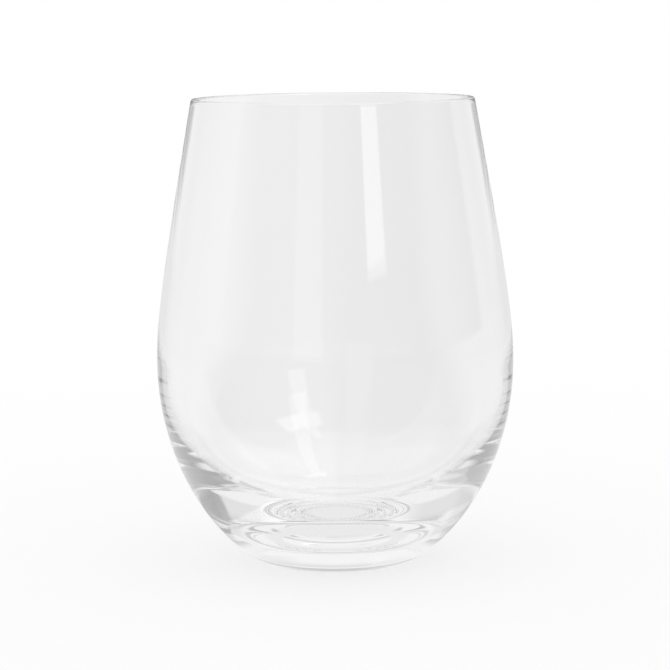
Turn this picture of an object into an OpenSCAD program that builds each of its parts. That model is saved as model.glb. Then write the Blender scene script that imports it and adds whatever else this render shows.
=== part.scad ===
// Stemless wine glass: one piece of clear glass, turned about the upright Z axis.
// The table is at Z = 0, and the middle of the standing ring is the origin.

/* [Bowl] */
// Height from the table to the top of the rim
height = 120; // [100:1:140]
// Outside diameter at the rim
rim_d = 72.6; // [62:0.2:82]
// Outside diameter at the widest point
belly_d = 92.2; // [84:0.2:102]
// Height of the widest point above the table
belly_h = 52.4; // [44:0.2:60]
// Share of the upper wall that bends before it runs straight to the rim
upper_bend_share = 0.24; // [0.1:0.01:0.4]

/* [Base] */
// Diameter at which the bowl's curve would meet the table if its heel were sharp
base_d = 40.4; // [34:0.2:46]
// Radius of the rounded heel between the bowl's curve and the standing ring
heel_r = 14; // [8:0.5:18]
// Width of the flat ring that the glass stands on
ring_w = 4; // [2:0.5:6]
// Depth of the hollow under the base, inside the standing ring
punt_h = 0.5; // [0.3:0.1:2]

/* [Wall] */
// Thickness of the wall at the rim
rim_wall = 1.3; // [1:0.1:2.5]
// Thickness of the wall at the widest point
belly_wall = 1.85; // [1.4:0.05:3]
// Height of the bowl's inner floor above the table
floor_h = 11.5; // [9.5:0.5:14]
// How flat the inside's floor is: 2 is an ellipse, and more is flatter
floor_flatness = 2.55; // [2.3:0.05:2.8]
// How straight the inside's lower wall is: 2 is an ellipse, and more is straighter
side_straightness = 3; // [2.6:0.1:3.4]
// Height at which the inside's lower curve, carried on, would stand upright
upright_h = 65.5; // [62:0.5:70]
// Height over which the inside's outward slope at the widest point fades away
flare_fade = 9; // [6:0.5:12]

/* [Hidden] */

// How finely the curves are drawn
wall_steps = 26;
bowl_steps = 34;
inner_bowl_steps = 48;
heel_steps = 10;
bead_steps = 6;
punt_steps = 8;
turn_steps = 180;
halvings = 40;

rim_r = rim_d / 2;
belly_r = belly_d / 2;
base_r = base_d / 2;
bead_r = rim_wall / 2;

// The outside below the widest point is an ellipse. This is its half height, with which it meets
// the table at base_r.
bowl_depth = belly_h / sqrt(1 - pow(base_r / belly_r, 2));

// The inside below the glass's widest point is part of a superellipse, with one exponent across,
// floor_flatness, and one down, side_straightness. It stands upright higher up, at upright_h, so the
// wall thickens towards the base.
inner_belly_r = belly_r - belly_wall;
inner_depth = upright_h - floor_h;
belly_down_share = (upright_h - belly_h) / inner_depth;
belly_across_share = 1 - pow(belly_down_share, side_straightness);
inner_curve_r = inner_belly_r / pow(belly_across_share, 1 / floor_flatness);
inner_start = asin(pow(belly_down_share, side_straightness / 2));

// Outward slope of that curve at the widest point
belly_flare = inner_belly_r / belly_across_share * side_straightness / floor_flatness
    * pow(belly_down_share, side_straightness - 1) / inner_depth;

// Share of the way in from the widest radius to the rim's, at the share t of the way up: one branch
// of a hyperbola, upright at the widest point and nearly straight at the rim.
function lean_share(t) =
    (sqrt(t * t + pow(upper_bend_share, 2)) - upper_bend_share)
    / (sqrt(1 + pow(upper_bend_share, 2)) - upper_bend_share);

// Slope of that curve at the rim, where t is 1
rim_slope_share = 1 / sqrt(1 + pow(upper_bend_share, 2))
    / (sqrt(1 + pow(upper_bend_share, 2)) - upper_bend_share);
// Angle by which the wall leans in at the rim
rim_lean = atan((belly_r - rim_r) * rim_slope_share / (height - belly_h));

// The rim is a round bead that is tangent to both sides of the leaning wall.
bead_centre = [rim_r - bead_r * cos(rim_lean), height - bead_r];
wall_top = bead_centre + bead_r * [cos(rim_lean), sin(rim_lean)];
inner_wall_top = bead_centre - bead_r * [cos(rim_lean), sin(rim_lean)];

// Points of an upper wall, from radius r at the widest point up to the point top. It starts with the
// outward slope flare, which fades by e for each flare_fade of height.
function wall_points(r, top, flare) = [
    for (i = [1 : wall_steps])
        let (t = i / wall_steps, rise = (top.y - belly_h) * t)
        [r - (r - top.x) * lean_share(t) + flare * rise * exp(-rise / flare_fade) * (1 - t),
         belly_h + rise]
];

// Points of the outside ellipse, up from the angle where the heel ends to 0 at the widest point
function bowl_points(from) = [
    for (i = [0 : bowl_steps])
        let (a = from * (1 - i / bowl_steps))
        [belly_r * cos(a), belly_h - bowl_depth * sin(a)]
];

// Points of the inside, down from the widest point to the middle of the floor
function inner_bowl_points() = [
    for (i = [0 : inner_bowl_steps])
        let (a = inner_start + (90 - inner_start) * i / inner_bowl_steps)
        [inner_curve_r * pow(cos(a), 2 / floor_flatness),
         upright_h - inner_depth * pow(sin(a), 2 / side_straightness)]
];

// Points of a circle about centre
function arc_points(centre, r, from, to, steps) = [
    for (i = [0 : steps])
        let (a = from + (to - from) * i / steps)
        centre + r * [cos(a), sin(a)]
];

// A list without its last point, which the next stretch of outline begins with
function open_end(points) = [for (i = [0 : len(points) - 2]) points[i]];

// A list without its first point
function open_start(points) = [for (i = [1 : len(points) - 1]) points[i]];

// A list from its end to its start
function backwards(points) = [for (i = [len(points) - 1 : -1 : 0]) points[i]];

// Unit vector out of the outside ellipse at the angle a
function bowl_normal(a) =
    let (n = [cos(a) / belly_r, -sin(a) / bowl_depth])
    n / norm(n);

// Centre of the heel circle that touches the ellipse at the angle a from within
function heel_centre(a) =
    [belly_r * cos(a), belly_h - bowl_depth * sin(a)] - heel_r * bowl_normal(a);

// The angle at which that circle also touches the table, found by halving
function heel_angle(low, high, left) =
    let (mid = (low + high) / 2)
    left == 0 ? mid
    : heel_centre(mid).y > heel_r ? heel_angle(mid, high, left - 1)
    : heel_angle(low, mid, left - 1);

heel_a = heel_angle(0, 90, halvings);
heel_c = heel_centre(heel_a);
heel_end = atan2(bowl_normal(heel_a).y, bowl_normal(heel_a).x);

// The hollow under the base is a shallow dome inside the standing ring.
ring_inner_r = heel_c.x - ring_w;
punt_r = (pow(ring_inner_r, 2) + pow(punt_h, 2)) / (2 * punt_h);
punt_a = asin(ring_inner_r / punt_r);

// The outside, from the middle of the hollow out and up to the rim's bead
outside = concat(
    arc_points([0, punt_h - punt_r], punt_r, 90, 90 - punt_a, punt_steps),
    open_end(arc_points(heel_c, heel_r, -90, heel_end, heel_steps)),
    bowl_points(heel_a),
    open_end(wall_points(belly_r, wall_top, 0))
);

// The bead, over its top to the inside
bead = concat(
    open_end(arc_points(bead_centre, bead_r, rim_lean, 90, bead_steps)),
    arc_points(bead_centre, bead_r, 90, 180 + rim_lean, bead_steps)
);

// The inside, from the bead down to the middle of the floor
inside = concat(
    open_start(backwards(wall_points(inner_belly_r, inner_wall_top, belly_flare))),
    inner_bowl_points()
);

module wine_glass() {
    color([0.92, 0.95, 0.95, 0.35])
        rotate_extrude($fn = turn_steps)
            polygon(concat(outside, bead, inside));
}

wine_glass();
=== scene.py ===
"""A stemless wine glass of clear glass on a pale table, dressed round the packed model.

The glass is one surface of revolution, worked out with numpy from its sizes. The table is one flat
floor, and the backdrop and the room with its lights that the glass mirrors are one world.
"""
import math

import bpy
import numpy as np
from mathutils import Matrix, Vector


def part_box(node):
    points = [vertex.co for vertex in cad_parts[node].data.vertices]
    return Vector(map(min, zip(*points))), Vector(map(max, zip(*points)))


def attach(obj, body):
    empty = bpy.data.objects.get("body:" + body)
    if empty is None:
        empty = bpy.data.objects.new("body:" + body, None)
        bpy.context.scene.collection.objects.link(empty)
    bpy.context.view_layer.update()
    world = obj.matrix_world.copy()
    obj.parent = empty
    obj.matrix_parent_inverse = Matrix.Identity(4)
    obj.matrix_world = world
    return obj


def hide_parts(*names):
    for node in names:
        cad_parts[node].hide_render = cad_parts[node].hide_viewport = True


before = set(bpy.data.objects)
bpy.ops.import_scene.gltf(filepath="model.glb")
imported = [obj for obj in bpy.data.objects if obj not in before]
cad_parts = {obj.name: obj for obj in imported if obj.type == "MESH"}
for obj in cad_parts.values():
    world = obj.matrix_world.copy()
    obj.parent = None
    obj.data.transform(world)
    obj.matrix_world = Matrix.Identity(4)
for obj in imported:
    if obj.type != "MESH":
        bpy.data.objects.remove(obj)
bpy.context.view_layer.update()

bl_info = {
    "name": "Stemless Wine Glass",
    "version": (1, 0, 0),
    "blender": (4, 5, 0),
    "location": "View3D > Sidebar > Wine Glass",
    "description": "Makes a stemless wine glass and the table and lights that it stands in",
    "category": "Add Mesh",
}

NODE = "wine_glass"
BODY = "root"
NODE_LOW, NODE_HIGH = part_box(NODE)

# Width of the photograph in pixels, width of the camera's sensor in millimetres, and half of the
# table's side in metres
PHOTO_PIXELS = 670
SENSOR_WIDTH = 36.0
TABLE_REACH = 3.0

# How finely the surface is drawn: steps round the axis, then along each stretch of the outline
TURN_STEPS = 272
PUNT_STEPS = 16
RING_STEPS = 4
HEEL_STEPS = 26
OUTER_BOWL_STEPS = 70
WALL_STEPS = 56
BEAD_STEPS = 12
INNER_BOWL_STEPS = 90
HALVINGS = 60

# Light that goes round inside the thick base meets its walls many times before it leaves
LIGHT_BOUNCES = 128

# How far the waves in the glass are drawn out upwards, as their scale along Z
WAVE_DRAW = 0.45
# Values of its noise between which the film of handling thickens
FILM_THIN, FILM_THICK = 0.45, 0.75
# The table's fine grain: its noise's scale, and the share of the table's white that it takes
GRAIN_SCALE = 60.0
GRAIN_SHARE = 0.01

# Softness of the edges in the room that the glass mirrors, in degrees
ROOM_SOFT = 2.0
SPLIT_SOFT = 3.0
BAND_SOFT = 4.0
HORIZON_SOFT = 3.0
DEEP_SOFT = 4.0
# The same on the table: by direction in degrees, and by distance in metres
FRONT_SOFT = 15.0
SHADE_SOFT = 6.0
TABLE_SOFT = 0.003


# Shader maths

class Socket:
    """An output socket of a node. An expression on sockets and numbers adds its Math nodes."""

    def __init__(self, net, output):
        self.net = net
        self.output = output

    def maths(self, operation, *values):
        """A Math node with this socket as its first input and the values as its next ones."""
        inputs = dict(enumerate((self, *values)))
        return self.net.add("ShaderNodeMath", {"operation": operation}, inputs)

    def __add__(self, other):
        return self.maths("ADD", other)

    __radd__ = __add__

    def __mul__(self, other):
        return self.maths("MULTIPLY", other)

    __rmul__ = __mul__

    def __sub__(self, other):
        return self.maths("SUBTRACT", other)

    def __rsub__(self, other):
        return (self * -1.0).maths("ADD", other)

    def __neg__(self):
        return self * -1.0

    def __abs__(self):
        return self.maths("ABSOLUTE")

    def __gt__(self, other):
        return self.maths("GREATER_THAN", other)

    def rise(self, low, high):
        """0 below low and 1 above high, with a smooth rise between them."""
        return self.net.add(
            "ShaderNodeMapRange", {"interpolation_type": "SMOOTHSTEP"},
            {"Value": self, "From Min": low, "From Max": high},
        )

    def past(self, edge, soft):
        """0 before an edge and 1 past it, with a rise that is soft to either side of it."""
        return self.rise(edge - soft, edge + soft)

    def window(self, low, high, soft):
        """1 between low and high, with soft edges, and 0 outside them."""
        return self.past(low, soft) * (1.0 - self.past(high, soft))

    def towards(self, other, share):
        """This value where share is 0, the other one where share is 1."""
        return self + (other - self) * share


class Net:
    """The node tree of a material or a world, empty at first."""

    def __init__(self, owner):
        owner.use_nodes = True
        self.tree = owner.node_tree
        self.tree.nodes.clear()

    def add(self, kind, settings=None, sockets=None, output=0):
        """Adds a node of a kind, sets its settings, then sets or links its sockets."""
        node = self.tree.nodes.new(kind)
        for name, value in (settings or {}).items():
            setattr(node, name, value)
        for name, value in (sockets or {}).items():
            if isinstance(value, Socket):
                self.tree.links.new(value.output, node.inputs[name])
            else:
                node.inputs[name].default_value = value
        return Socket(self, node.outputs[output]) if node.outputs else None

    def out(self, other, output):
        """Another output of the node that a socket belongs to."""
        return Socket(self, other.output.node.outputs[output])

    def number(self, value):
        """A number as a socket, for an expression to start from."""
        socket = self.add("ShaderNodeValue")
        socket.output.default_value = value
        return socket

    def grey(self, level):
        """A colour that is the same level in red, green and blue."""
        return self.add("ShaderNodeCombineColor", None, {"Red": level, "Green": level, "Blue": level})


# The glass's outline, in metres, as arrays of radius and height

def lean_share(t, bend):
    """Share of the way in from the widest radius to the rim's at the share t of the way up: one
    branch of a hyperbola, upright at the widest point and nearly straight at the rim."""
    return (np.sqrt(t * t + bend * bend) - bend) / (math.sqrt(1 + bend * bend) - bend)


def arc(centre, radius, start, end, steps):
    """Points of a circle about centre, from the angle start to the angle end."""
    angle = np.linspace(start, end, steps + 1)
    return centre + radius * np.stack((np.cos(angle), np.sin(angle)), axis=1)


def upper_wall(radius, top, shape, flare):
    """The wall above the glass's widest point: the radius falls by lean_share of the way to top's,
    after it rises at the slope flare, which fades with the height by e for each flare_fade."""
    t = np.linspace(0, 1, WALL_STEPS + 1)
    rise = (top[1] - shape.belly_height) * t
    return np.stack((
        radius - (radius - top[0]) * lean_share(t, shape.upper_bend)
        + flare * rise * np.exp(-rise / shape.flare_fade) * (1 - t),
        shape.belly_height + rise,
    ), axis=1)


def power_curve(radius, height, depth, flatness, straightness, angle):
    """A rounded bowl: the radius is times the cosine of an angle to the power of 2 over flatness, and
    the depth is times its sine to the power of 2 over straightness. With 2 and 2 it is an ellipse."""
    return np.stack((
        radius * np.clip(np.cos(angle), 0, 1) ** (2 / flatness),
        height - depth * np.clip(np.sin(angle), 0, 1) ** (2 / straightness),
    ), axis=1)


def inner_bowl(shape):
    """The inside below the glass's widest point, as a power curve that would stand upright at
    upright_height. Returns its points and its outward slope at the widest point."""
    flat, straight = shape.floor_flatness, shape.side_straightness
    depth = shape.upright_height - shape.floor_height
    down = (shape.upright_height - shape.belly_height) / depth
    across = 1 - down ** straight
    belly = shape.belly_diameter / 2 - shape.belly_wall
    radius = belly / across ** (1 / flat)
    slope = belly / across * straight / flat * down ** (straight - 1) / depth
    start = math.asin(down ** (straight / 2))
    angle = np.linspace(start, math.pi / 2, INNER_BOWL_STEPS + 1)
    return power_curve(radius, shape.upright_height, depth, flat, straight, angle), slope


def heel_fit(shape, radius, depth):
    """The heel's circle, which touches the outer ellipse from within and touches the table. Returns
    the ellipse's angle there, the circle's centre and the direction of the touching point."""
    def normal(angle):
        n = np.array((math.cos(angle) / radius, -math.sin(angle) / depth))
        return n / np.linalg.norm(n)

    def centre(angle):
        at = np.array((radius * math.cos(angle), shape.belly_height - depth * math.sin(angle)))
        return at - shape.heel_radius * normal(angle)

    low, high = 0.0, math.pi / 2
    for _ in range(HALVINGS):
        middle = (low + high) / 2
        if centre(middle)[1] > shape.heel_radius:
            low = middle
        else:
            high = middle
    n = normal(low)
    return low, centre(low), math.atan2(n[1], n[0])


def glass_outline(shape):
    """The whole section, from the middle of the hollow under the base, out over the standing ring
    and the heel, up the outside, over the rim's round bead and down the inside to the floor."""
    radius = shape.belly_diameter / 2
    rim = shape.rim_diameter / 2
    bead = shape.rim_wall / 2
    depth = shape.belly_height / math.sqrt(1 - (shape.base_diameter / shape.belly_diameter) ** 2)
    root = math.sqrt(1 + shape.upper_bend ** 2)
    slope = 1 / root / (root - shape.upper_bend)
    lean = math.atan((radius - rim) * slope / (shape.height - shape.belly_height))
    across = np.array((math.cos(lean), math.sin(lean)))
    bead_centre = np.array((rim - bead * across[0], shape.height - bead))

    heel_angle, heel_centre, heel_end = heel_fit(shape, radius, depth)
    ring = heel_centre[0] - shape.ring_width
    dome = (ring ** 2 + shape.punt_depth ** 2) / (2 * shape.punt_depth)
    dome_angle = math.asin(ring / dome)
    right = math.pi / 2

    inner, flare = inner_bowl(shape)
    outside = (
        arc(np.array((0, shape.punt_depth - dome)), dome, right, right - dome_angle, PUNT_STEPS)[:-1],
        np.linspace((ring, 0), (heel_centre[0], 0), RING_STEPS + 1)[:-1],
        arc(heel_centre, shape.heel_radius, -right, heel_end, HEEL_STEPS)[:-1],
        power_curve(radius, shape.belly_height, depth, 2, 2,
                    np.linspace(heel_angle, 0, OUTER_BOWL_STEPS + 1))[:-1],
        upper_wall(radius, bead_centre + bead * across, shape, 0)[:-1],
    )
    over = (arc(bead_centre, bead, lean, math.pi + lean, 2 * BEAD_STEPS)[:-1],)
    inside = (
        upper_wall(inner[0, 0], bead_centre - bead * across, shape, flare)[::-1][:-1],
        inner,
    )
    return np.concatenate(outside + over + inside)


def turned_mesh(name, outline):
    """A closed mesh of an outline turned about Z: each point of the grid is (radius cos a,
    radius sin a, height). The two points on the axis are single, each with a fan of triangles."""
    angle = np.linspace(0, 2 * math.pi, TURN_STEPS, endpoint=False)
    body = outline[1:-1]
    grid = np.empty((len(body), TURN_STEPS, 3))
    grid[..., 0] = body[:, :1] * np.cos(angle)
    grid[..., 1] = body[:, :1] * np.sin(angle)
    grid[..., 2] = body[:, 1:]
    poles = np.array(((0, 0, outline[0, 1]), (0, 0, outline[-1, 1])))
    points = np.concatenate((grid.reshape(-1, 3), poles))

    index = np.arange(grid.shape[0] * TURN_STEPS).reshape(-1, TURN_STEPS)
    turned = np.roll(index, -1, axis=1)
    quads = np.stack((index[:-1], turned[:-1], turned[1:], index[1:]), axis=-1).reshape(-1, 4)
    under = np.stack((np.full(TURN_STEPS, len(points) - 2), turned[0], index[0]), axis=-1)
    floor = np.stack((np.full(TURN_STEPS, len(points) - 1), index[-1], turned[-1]), axis=-1)

    mesh = bpy.data.meshes.new(name)
    mesh.from_pydata(points, [], quads.tolist() + under.tolist() + floor.tolist())
    mesh.shade_smooth()
    mesh.update()
    return mesh


def add_object(name, data):
    """A new object at the origin, in the scene."""
    thing = bpy.data.objects.new(name, data)
    bpy.context.scene.collection.objects.link(thing)
    return thing


# Finishes

def clear_glass(finish):
    """Clear, fire-polished glass: it bends and mirrors light, drawn faintly wavy round the bowl, with
    a film of handling so thin that only its shine shows it."""
    material = bpy.data.materials.new("clear_glass")
    net = Net(material)
    place = net.add("ShaderNodeTexCoord", output="Object")
    drawn = net.add("ShaderNodeMapping", None, {"Vector": place, "Scale": (1.0, 1.0, WAVE_DRAW)})
    wave = net.add("ShaderNodeTexNoise", None, {
        "Vector": drawn, "Scale": 1 / finish.wave_length, "Detail": 1.0, "Roughness": 0.4,
    })
    bump = net.add("ShaderNodeBump", None, {
        "Height": wave, "Strength": 1.0, "Distance": finish.wave_height,
    })
    film = net.add("ShaderNodeTexNoise", None, {
        "Vector": place, "Scale": 1 / finish.film_size, "Detail": 3.0, "Roughness": 0.55,
    })
    blur = film.rise(FILM_THIN, FILM_THICK) * finish.film_blur
    shader = net.add("ShaderNodeBsdfPrincipled", None, {
        "Base Color": (*finish.tint, 1.0),
        "Roughness": blur,
        "IOR": finish.refraction,
        "Transmission Weight": 1.0,
        "Normal": bump,
    })
    net.add("ShaderNodeOutputMaterial", None, {"Surface": shader})
    return material


def compass(x, y):
    """Azimuth in degrees of a direction: 0 towards the camera's side, -Y, and rising towards +X."""
    return x.maths("ARCTAN2", -y) * math.degrees(1)


def sideways(azimuth, studio):
    """1 towards the dark sides and front of the room, and 0 towards the backdrop."""
    return 1 - abs(azimuth).past(studio.backdrop_azimuth, studio.backdrop_soft)


def backdrop(azimuth, studio):
    """Level of the even backdrop, a little darker to the right of straight behind."""
    across = (azimuth * math.radians(1)).maths("SINE")
    return azimuth.net.number(studio.backdrop).towards(
        studio.backdrop_right, across.past(0.0, studio.backdrop_blend))


def glass_sees(camera, through, mirror, low, azimuth, studio):
    """The level that a ray finds past the glass: through, where it has only gone through the glass,
    and mirror, where the glass has mirrored it. After many meetings with the glass it is an even
    level, darker towards the sides and the front where low is 1."""
    net = camera.net
    mirrored = net.out(camera, "Glossy Depth") > 0.5
    deep = net.out(camera, "Ray Depth").rise(studio.deep_from, studio.deep_to)
    mixed = net.number(studio.deep_level).towards(
        studio.deep_side_level, low * sideways(azimuth, studio))
    return through.towards(mirror, mirrored).towards(mixed, deep)


def table_top(studio):
    """The pale table. The camera sees it white, with the glass's shadow. What shows through the glass
    is as bright as the backdrop, and grows darker with distance to the sides and the front. What the
    glass mirrors is the pool of light that it stands in, which is darker under the foot and in a
    shade beside and behind it, then the dark floor in front and the far end of the table behind."""
    material = bpy.data.materials.new("pale_table")
    net = Net(material)
    camera = net.add("ShaderNodeLightPath", output="Is Camera Ray")
    place = net.add("ShaderNodeTexCoord", output="Object")
    x = net.add("ShaderNodeSeparateXYZ", None, {"Vector": place})
    y = net.out(x, "Y")
    away = (x * x + y * y).maths("SQRT")
    azimuth = compass(x, y)

    outer = away.rise(studio.side_start, studio.side_end)
    through = backdrop(azimuth, studio).towards(
        studio.side_through, outer * sideways(azimuth, studio))

    # A pool of light painted on the table round the glass, as the glass mirrors it, darker past its
    # edge
    front = net.number(studio.pool_level).towards(
        studio.past_pool, away.past(studio.pool_radius, studio.pool_soft))
    back = net.number(studio.pool_level).towards(
        studio.far_level, away.rise(studio.far_start, studio.far_end))
    mirror = front.towards(back, abs(azimuth).past(studio.front_azimuth, FRONT_SOFT))
    # Painted shadow of the glass on the table, beside and behind the foot, as the glass mirrors it
    shaded = (abs(azimuth).window(studio.shade_from, studio.shade_to, SHADE_SOFT)
              * away.window(studio.shade_start, studio.shade_end, TABLE_SOFT))
    mirror = mirror.towards(studio.shade_level, shaded)
    # Painted shade on the table right under the base, as the glass mirrors it
    mirror = mirror.towards(studio.foot_shade_level, 1 - away.past(studio.foot_shade_radius, TABLE_SOFT))

    low = away.rise(studio.deep_near, studio.deep_far)
    seen = glass_sees(camera, through, mirror, low, azimuth, studio)
    share = studio.shadow_share * (1 - away.rise(studio.shadow_start, studio.shadow_end)) * camera
    grain = net.add("ShaderNodeTexNoise", None, {
        "Vector": place, "Scale": GRAIN_SCALE, "Detail": 2.0,
    })
    shade = net.add("ShaderNodeBsdfDiffuse", None, {
        "Color": net.grey((grain * GRAIN_SHARE + (1 - GRAIN_SHARE)) * share),
    })
    glow = net.add("ShaderNodeEmission", None, {
        "Color": (1, 1, 1, 1), "Strength": seen.towards(1 - share, camera),
    })
    both = net.add("ShaderNodeAddShader", None, {0: shade, 1: glow})
    net.add("ShaderNodeOutputMaterial", None, {"Surface": both})
    return material


def studio_world(studio):
    """The room round the glass, by direction: azimuth as in compass, and elevation up from the
    table. The camera sees white. What shows through the glass is the even backdrop, and the dark
    sides and front past it. What the glass mirrors is the room: its front, left and right side, back
    and ceiling, a darker band and the horizon low behind the glass, and the tall lights."""
    world = bpy.data.worlds.new("soft_studio")
    bpy.context.scene.world = world
    net = Net(world)
    direction = net.add("ShaderNodeTexCoord", output="Generated")
    x = net.add("ShaderNodeSeparateXYZ", None, {"Vector": direction})
    azimuth = compass(x, net.out(x, "Y"))
    elevation = net.out(x, "Z").maths("ARCSINE") * math.degrees(1)
    camera = net.add("ShaderNodeLightPath", output="Is Camera Ray")
    diffuse = net.out(camera, "Is Diffuse Ray")

    room = net.number(studio.front_level).towards(
        studio.front_right_level, azimuth.rise(studio.main_light.azimuth, studio.front_right_full))
    above = elevation.past(studio.side_split, SPLIT_SOFT)
    left = net.number(studio.side_low_level).towards(studio.left_level, above)
    right = net.number(studio.side_low_level).towards(studio.right_level, above)
    room = room.towards(left, 1 - azimuth.past(-studio.left_azimuth, ROOM_SOFT))
    room = room.towards(right, azimuth.past(studio.right_azimuth, ROOM_SOFT))

    behind = abs(azimuth)
    room = room.towards(studio.back_level, behind.rise(studio.back_start, studio.back_full))
    band = (behind.rise(studio.band_start, studio.band_full)
            * elevation.window(studio.band_low, studio.band_high, BAND_SOFT))
    room = room.towards(studio.band_level, band)
    horizon = (behind.rise(studio.horizon_start, studio.horizon_full)
               * elevation.window(studio.horizon_low, studio.horizon_high, HORIZON_SOFT))
    room = room.towards(studio.horizon_level, horizon)
    room = room.towards(
        studio.ceiling_level, elevation.rise(studio.ceiling_start, studio.ceiling_full))
    for light in (studio.main_light, studio.fill_light, studio.main_head):
        half = light.width / 2
        across = azimuth.window(light.azimuth - half, light.azimuth + half, light.soft)
        room = room.towards(
            light.level, across * elevation.window(light.low, light.high, light.soft_end))

    through = backdrop(azimuth, studio).towards(studio.side_through, sideways(azimuth, studio))
    low = 1 - elevation.past(studio.deep_split, DEEP_SOFT)
    seen = glass_sees(camera, through, room, low, azimuth, studio)
    seen = seen.towards(1.0, diffuse).towards(1.0, camera)
    sky = net.add("ShaderNodeBackground", None, {"Color": net.grey(seen), "Strength": 1.0})
    net.add("ShaderNodeOutputWorld", None, {"Surface": sky})


# Settings

def length(name, description, default):
    """A length's setting."""
    return bpy.props.FloatProperty(
        name=name, description=description, default=default, min=0.0001, precision=4,
        subtype="DISTANCE", unit="LENGTH",
    )


def level(name, description, default):
    """A setting for how bright something is, where 1 is white."""
    return bpy.props.FloatProperty(name=name, description=description, default=default, min=0.0)


def degrees(name, description, default):
    """A direction's setting."""
    return bpy.props.FloatProperty(name=name, description=description + ", in degrees", default=default)


class WineGlassShape(bpy.types.PropertyGroup):
    """Sizes of the glass, the same as the model's."""
    height: length("Height", "From the table to the top of the rim", NODE_HIGH.z - NODE_LOW.z)
    rim_diameter: length("Rim", "Outside diameter at the rim", 0.0726)
    belly_diameter: length("Belly", "Outside diameter at the widest point", NODE_HIGH.x - NODE_LOW.x)
    belly_height: length("Belly height", "Height of the widest point above the table", 0.0524)
    upper_bend: bpy.props.FloatProperty(
        name="Upper bend", description="Share of the upper wall that bends before it runs straight",
        default=0.24, min=0.05, max=1.0, subtype="FACTOR",
    )
    base_diameter: length("Base", "Diameter at which the bowl's curve would meet the table", 0.0404)
    heel_radius: length("Heel", "Radius between the bowl's curve and the standing ring", 0.014)
    ring_width: length("Ring", "Width of the flat ring that the glass stands on", 0.004)
    punt_depth: length("Punt", "Depth of the hollow under the base", 0.0005)
    rim_wall: length("Rim wall", "Thickness of the wall at the rim", 0.0013)
    belly_wall: length("Belly wall", "Thickness of the wall at the widest point", 0.00185)
    floor_height: length("Floor", "Height of the bowl's inner floor above the table", 0.0115)
    upright_height: length("Upright height", "Where the inside's lower curve would be upright", 0.0655)
    flare_fade: length("Flare fade", "Height over which the inside's outward slope fades", 0.009)
    floor_flatness: bpy.props.FloatProperty(
        name="Floor flatness", description="2 is an ellipse, and more has a flatter floor",
        default=2.55, min=1.5, max=4.0,
    )
    side_straightness: bpy.props.FloatProperty(
        name="Side straightness", description="2 is an ellipse, and more has straighter sides",
        default=3.0, min=1.5, max=5.0,
    )


class WineGlassFinish(bpy.types.PropertyGroup):
    """How the glass looks."""
    tint: bpy.props.FloatVectorProperty(
        name="Tint", description="Colour that the glass gives light at each surface",
        default=(1.0, 1.0, 1.0), min=0.0, max=1.0, subtype="COLOR",
    )
    refraction: bpy.props.FloatProperty(
        name="Index", description="Index of refraction", default=1.52, min=1.0, max=2.5,
    )
    wave_length: length("Wave length", "Distance between the faint waves in the surface", 0.022)
    wave_height: bpy.props.FloatProperty(
        name="Wave height", description="Height of those waves", default=0.00001, min=0.0,
        precision=6, subtype="DISTANCE", unit="LENGTH",
    )
    film_size: length("Film size", "Size of the patches in the film of handling", 0.03)
    film_blur: bpy.props.FloatProperty(
        name="Film blur", description="Roughness where the film is thickest", default=0.02,
        min=0.0, max=0.1,
    )


def tall_light(name, doc, azimuth, width, low, high, soft, soft_end, bright):
    """Settings of a tall soft light that the glass mirrors, by direction in degrees."""
    return type(name, (bpy.types.PropertyGroup,), {"__doc__": doc, "__annotations__": {
        "azimuth": degrees("Azimuth", "Direction to the right of the camera's side", azimuth),
        "width": degrees("Width", "How wide it is", width),
        "low": degrees("Low end", "Elevation of its lower end", low),
        "high": degrees("High end", "Elevation of its upper end", high),
        "soft": degrees("Soft sides", "How soft its sides are", soft),
        "soft_end": degrees("Soft ends", "How soft its ends are", soft_end),
        "level": level("Level", "How bright it is, where 1 is white", bright),
    }})


MainLight = tall_light(
    "MainLight", "The tall light on the right",
    azimuth=29.0, width=13.0, low=10.7, high=70.0, soft=1.0, soft_end=0.3, bright=1.85,
)
FillLight = tall_light(
    "FillLight", "The faint light on the left",
    azimuth=-17.5, width=19.0, low=-4.0, high=60.0, soft=1.0, soft_end=1.5, bright=0.85,
)
MainHead = tall_light(
    "MainHead", "The wide head of the light on the right",
    azimuth=38.0, width=44.0, low=42.0, high=56.0, soft=3.0, soft_end=2.0, bright=2.6,
)


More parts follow.
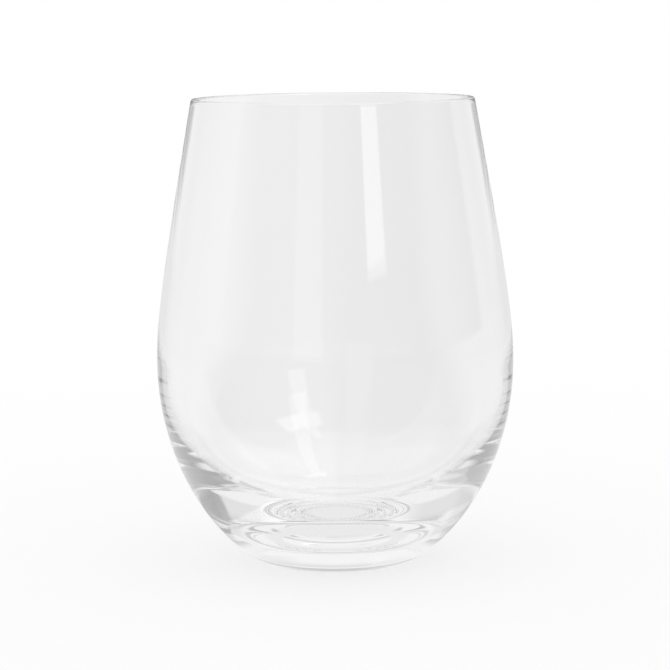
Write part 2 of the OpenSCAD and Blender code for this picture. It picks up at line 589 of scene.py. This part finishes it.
class WineGlassStudio(bpy.types.PropertyGroup):
    """The table, the room and the camera."""
    backdrop: level("Backdrop", "Level of what shows through the glass", 0.925)
    backdrop_right: level("Backdrop right", "Level of the backdrop's right half", 0.885)
    backdrop_blend: bpy.props.FloatProperty(
        name="Backdrop blend", description="Sine of the angle over which its halves blend",
        default=0.04,
    )
    backdrop_azimuth: degrees("Backdrop edge", "Azimuth at which the backdrop ends", 110.0)
    backdrop_soft: degrees("Backdrop softness", "How soft the backdrop's end is", 20.0)
    side_through: level("Sides through", "Level of the sides, as they show through the glass", 0.4)
    side_start: length("Side start", "Where the table to the sides begins to darken like them", 0.08)
    side_end: length("Side end", "Where that table is darkest", 0.6)

    front_level: level("Front", "Level of the room round the camera", 0.55)
    front_right_level: level("Front right", "Level of the room right of the main light", 0.38)
    front_right_full: degrees("Front right full", "Azimuth at which it has that level", 90.0)
    left_level: level("Left", "Level of the room to the left", 0.92)
    left_azimuth: degrees("Left edge", "Where the room's brighter left side begins", 78.0)
    right_level: level("Right", "Level of the room to the right", 0.92)
    right_azimuth: degrees("Right edge", "Where the room's brighter right side begins", 110.0)
    side_low_level: level("Low sides", "Level of the room to the left and right, low down", 0.76)
    side_split: degrees("Side split", "Elevation at which those sides grow brighter", 18.0)
    back_level: level("Back", "Level of the room behind the glass", 0.92)
    back_start: degrees("Back start", "Azimuth at which the room's back begins", 125.0)
    back_full: degrees("Back full", "Azimuth at which it has its level", 145.0)
    band_level: level("Band", "Level of a darker band low behind the glass", 0.62)
    band_start: degrees("Band start", "Azimuth at which the band begins", 104.0)
    band_full: degrees("Band full", "Azimuth at which it has its level", 114.0)
    band_low: degrees("Band low", "Elevation of its lower edge", 17.0)
    band_high: degrees("Band high", "Elevation of its upper edge", 34.0)
    horizon_level: level("Horizon", "Level of the room's back at the height of the table", 0.5)
    horizon_start: degrees("Horizon start", "Azimuth at which that dark horizon begins", 145.0)
    horizon_full: degrees("Horizon full", "Azimuth at which it has its level", 155.0)
    horizon_low: degrees("Horizon low", "Elevation of its lower edge", -5.0)
    horizon_high: degrees("Horizon high", "Elevation of its upper edge", 9.0)
    ceiling_level: level("Ceiling", "Level of the room overhead", 0.9)
    ceiling_start: degrees("Ceiling start", "Elevation at which the ceiling begins", 60.0)
    ceiling_full: degrees("Ceiling full", "Elevation at which it has its level", 70.0)

    shadow_share: level("Shadow", "Share of the table's white that its shadow can take", 0.22)
    shadow_start: length("Shadow start", "Distance at which that share begins to fall", 0.08)
    shadow_end: length("Shadow end", "Distance past which the table takes no shadow", 0.4)
    pool_level: level("Pool", "Level of the pool of light round the glass, as it mirrors it", 0.9)
    pool_radius: length("Pool radius", "Radius of the pool of light on the table", 0.1)
    pool_soft: length("Pool softness", "How soft the edge of the pool is", 0.01)
    past_pool: level("Past the pool", "Level of the floor in front, past that pool", 0.35)
    front_azimuth: degrees("Front edge", "Where the floor's dark front ends", 80.0)
    # The table right under the base is darker by a painted shade, as the glass mirrors it
    foot_shade_level: level("Foot", "Level of the table right under the base", 0.82)
    foot_shade_radius: length("Foot radius", "Radius of that part of the table", 0.022)
    # A painted shadow of the glass on the table, beside and behind the foot
    shade_level: level("Shade", "Level of a shade on the table, beside and behind the foot", 0.54)
    shade_start: length("Shade start", "Radius at which that shade begins", 0.03)
    shade_end: length("Shade end", "Radius at which it ends", 0.06)
    shade_from: degrees("Shade from", "Azimuth at which it begins, to either side", 85.0)
    shade_to: degrees("Shade to", "Azimuth at which it ends", 150.0)
    far_level: level("Far table", "Level of the table far behind the glass", 0.8)
    far_start: length("Far start", "Where the table behind the glass begins to darken", 0.2)
    far_end: length("Far end", "Where the table behind the glass is darkest", 0.6)

    deep_level: level("Deep", "Level of light that has met the glass many times", 0.9)
    deep_side_level: level("Deep side", "Level of such light, low from the sides and front", 0.38)
    deep_split: degrees("Deep split", "Elevation above which it is bright from all sides", 30.0)
    deep_near: length("Deep near", "Distance at which it begins to darken on the table", 0.05)
    deep_far: length("Deep far", "Distance past which it is dark on the table", 0.07)
    deep_from: bpy.props.FloatProperty(
        name="Deep from", description="Number of meetings past which light counts as such",
        default=9.0,
    )
    deep_to: bpy.props.FloatProperty(
        name="Deep to", description="Number of meetings at which it does so fully", default=14.0,
    )

    main_light: bpy.props.PointerProperty(type=MainLight)
    fill_light: bpy.props.PointerProperty(type=FillLight)
    main_head: bpy.props.PointerProperty(type=MainHead)

    camera_distance: length("Camera distance", "From the camera to the glass's axis", 0.6)
    camera_height: length("Camera height", "Height of the camera above the table", 0.143)
    aim_height: length("Aim", "Height on the axis that the camera looks at", 0.05871)
    focal_pixels: bpy.props.FloatProperty(
        name="Focal length", description="Focal length in pixels of the photograph", default=2338.0,
    )
    roll: bpy.props.FloatProperty(
        name="Roll", description="Turn of the camera about its view", default=math.radians(-0.565),
        subtype="ANGLE", unit="ROTATION",
    )


# Operators

class WINEGLASS_OT_make_glass(bpy.types.Operator):
    """Make the wine glass in place of the model's node"""
    bl_idname = "wineglass.make_glass"
    bl_label = "Make the glass"

    def execute(self, context):
        outline = glass_outline(context.scene.wine_glass_shape)
        glass = add_object("clear_wine_glass", turned_mesh("clear_wine_glass", outline))
        glass.data.materials.append(clear_glass(context.scene.wine_glass_finish))
        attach(glass, BODY)
        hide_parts(NODE)
        return {"FINISHED"}


class WINEGLASS_OT_set_stage(bpy.types.Operator):
    """Set the pale table, the studio room with its lights, and the camera"""
    bl_idname = "wineglass.set_stage"
    bl_label = "Set the stage"

    def execute(self, context):
        studio = context.scene.wine_glass_studio
        studio_world(studio)

        far = TABLE_REACH
        corners = [(-far, -far, 0), (far, -far, 0), (far, far, 0), (-far, far, 0)]
        mesh = bpy.data.meshes.new("table")
        mesh.from_pydata(corners, [], [(0, 1, 2, 3)])
        mesh.materials.append(table_top(studio))
        add_object("table", mesh)

        camera = add_object("camera", bpy.data.cameras.new("camera"))
        place = Vector((0, -studio.camera_distance, studio.camera_height))
        look = Vector((0, 0, studio.aim_height)) - place
        turn = look.to_track_quat("-Z", "Y").to_matrix() @ Matrix.Rotation(studio.roll, 3, "Z")
        camera.matrix_world = Matrix.Translation(place) @ turn.to_4x4()
        camera.data.sensor_width = SENSOR_WIDTH
        camera.data.lens = SENSOR_WIDTH * studio.focal_pixels / PHOTO_PIXELS

        scene = context.scene
        scene.camera = camera
        scene.view_settings.view_transform = "Standard"
        scene.cycles.max_bounces = LIGHT_BOUNCES
        scene.cycles.transmission_bounces = LIGHT_BOUNCES
        scene.cycles.glossy_bounces = LIGHT_BOUNCES
        return {"FINISHED"}


class WINEGLASS_PT_panel(bpy.types.Panel):
    """The glass's settings and the steps that make it"""
    bl_idname = "WINEGLASS_PT_panel"
    bl_label = "Wine Glass"
    bl_space_type = "VIEW_3D"
    bl_region_type = "UI"
    bl_category = "Wine Glass"

    def draw(self, context):
        for operator in OPERATORS:
            self.layout.operator(operator.bl_idname)
        studio = context.scene.wine_glass_studio
        for group in (context.scene.wine_glass_shape, context.scene.wine_glass_finish, studio,
                      studio.main_light, studio.fill_light, studio.main_head):
            box = self.layout.box()
            for name in group.__annotations__:
                if not isinstance(getattr(group, name), bpy.types.PropertyGroup):
                    box.prop(group, name)


OPERATORS = (WINEGLASS_OT_make_glass, WINEGLASS_OT_set_stage)
GROUPS = (WineGlassShape, WineGlassFinish, MainLight, FillLight, MainHead, WineGlassStudio)
CLASSES = GROUPS + OPERATORS + (WINEGLASS_PT_panel,)


def register():
    for cls in CLASSES:
        bpy.utils.register_class(cls)
    bpy.types.Scene.wine_glass_shape = bpy.props.PointerProperty(type=WineGlassShape)
    bpy.types.Scene.wine_glass_finish = bpy.props.PointerProperty(type=WineGlassFinish)
    bpy.types.Scene.wine_glass_studio = bpy.props.PointerProperty(type=WineGlassStudio)


def unregister():
    del bpy.types.Scene.wine_glass_studio
    del bpy.types.Scene.wine_glass_finish
    del bpy.types.Scene.wine_glass_shape
    for cls in reversed(CLASSES):
        bpy.utils.unregister_class(cls)


def main():
    register()
    for step in (bpy.ops.wineglass.make_glass, bpy.ops.wineglass.set_stage):
        if step() != {"FINISHED"}:
            raise RuntimeError("a step did not finish")


if __name__ == "__main__":
    main()
